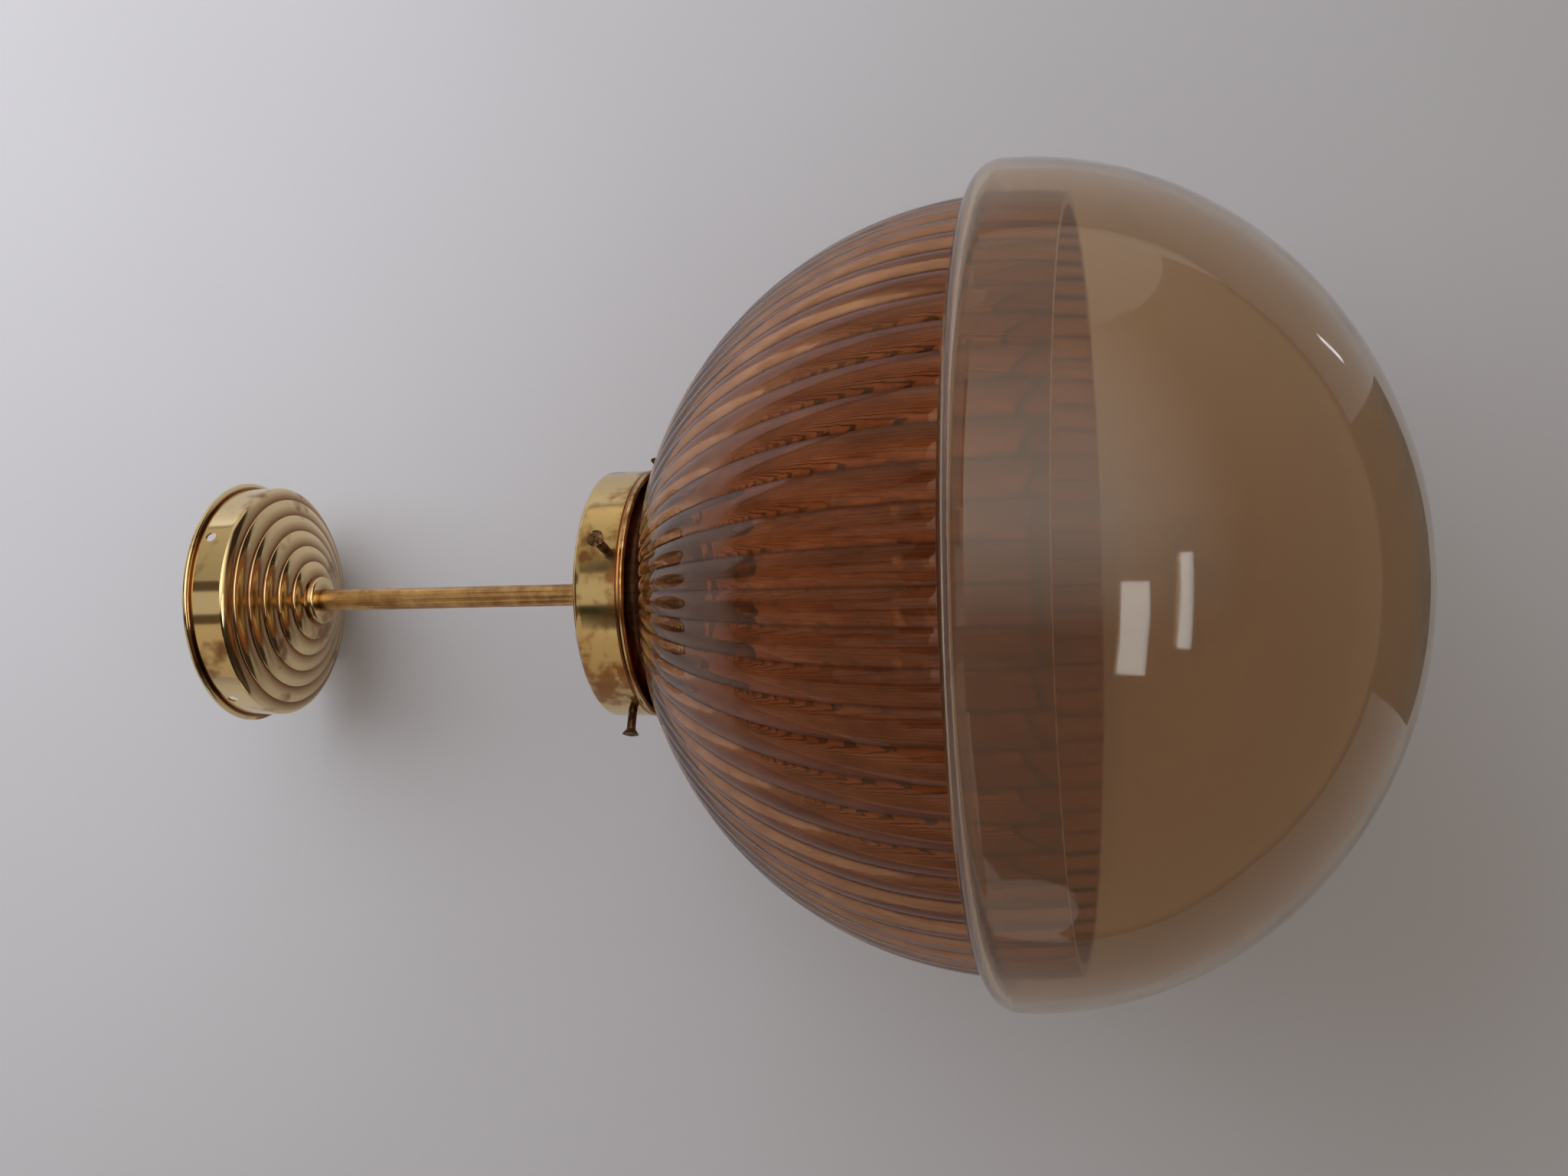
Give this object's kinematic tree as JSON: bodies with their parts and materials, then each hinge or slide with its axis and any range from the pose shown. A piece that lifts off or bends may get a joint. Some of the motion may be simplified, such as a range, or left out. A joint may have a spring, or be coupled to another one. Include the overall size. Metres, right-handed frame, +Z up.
{
  "type": "pendant light",
  "caption": "Ceiling pendant with a stepped spun canopy, a rigid rod, a screw gallery and a ribbed glass globe closed by a wider smoked glass bowl.",
  "frame": {"origin": "centre of the canopy's ceiling face", "axes": "+Z up into the ceiling along the lamp's axis, so the lamp hangs along -Z; +X through the canopy's terminal block"},
  "size_m": [0.3539, 0.354, 0.5341],
  "materials": {
    "polished_brass": "polished",
    "tube_brass": "satin",
    "tarnished_brass": "polished, with tarnish",
    "screw_brass": "dull",
    "contact_brass": "satin",
    "plated_steel": "zinc plated",
    "terminal_plastic": "matte",
    "brown_insulation": "matte",
    "blue_insulation": "matte",
    "green_insulation": "matte",
    "black_moulding": "semi-gloss phenolic",
    "glazed_ceramic": "glazed",
    "amber_glass": "ribbed, transparent",
    "smoked_glass": "glossy, faintly cloudy",
    "cement": "matte"
  },
  "bodies": {
    "lamp": {"canopy": "polished_brass", "canopy_washer": "contact_brass", "canopy_nut": "plated_steel", "earth_tag": "contact_brass", "canopy_locknut": "plated_steel", "terminal_block": "terminal_plastic", "terminal_inserts": "contact_brass", "terminal_screws": "plated_steel", "wire_live": "brown_insulation", "wire_neutral": "blue_insulation", "wire_earth": "green_insulation", "tube": "tube_brass", "gallery_washer": "tube_brass", "gallery_nut": "tube_brass", "gallery": "tarnished_brass", "holder_cap": "black_moulding", "holder_grub_screw": "plated_steel", "holder_insert": "glazed_ceramic", "holder_terminals": "contact_brass", "holder_centre_contact": "contact_brass", "holder_side_contact": "contact_brass", "holder_sleeve": "black_moulding", "holder_thread": "contact_brass", "upper_bowl": "amber_glass", "bowl_cement": "cement", "lower_bowl": "smoked_glass"},
    "screw_1": {"gallery_screw_1": "screw_brass"},
    "screw_2": {"gallery_screw_2": "screw_brass"},
    "screw_3": {"gallery_screw_3": "screw_brass"},
    "screw_4": {"gallery_screw_4": "screw_brass"}
  },
  "joints": [
    {"name": "screw_1_backs_out", "type": "slide", "parent": "lamp", "child": "screw_1", "axis": [0.3502, -0.9367, 0], "range_m": [0, 0.003]},
    {"name": "screw_2_backs_out", "type": "slide", "parent": "lamp", "child": "screw_2", "axis": [0.9367, 0.3502, 0], "range_m": [0, 0.003]},
    {"name": "screw_3_backs_out", "type": "slide", "parent": "lamp", "child": "screw_3", "axis": [-0.3502, 0.9367, 0], "range_m": [0, 0.003]},
    {"name": "screw_4_backs_out", "type": "slide", "parent": "lamp", "child": "screw_4", "axis": [-0.9367, -0.3502, 0], "range_m": [0, 0.003]}
  ]
}
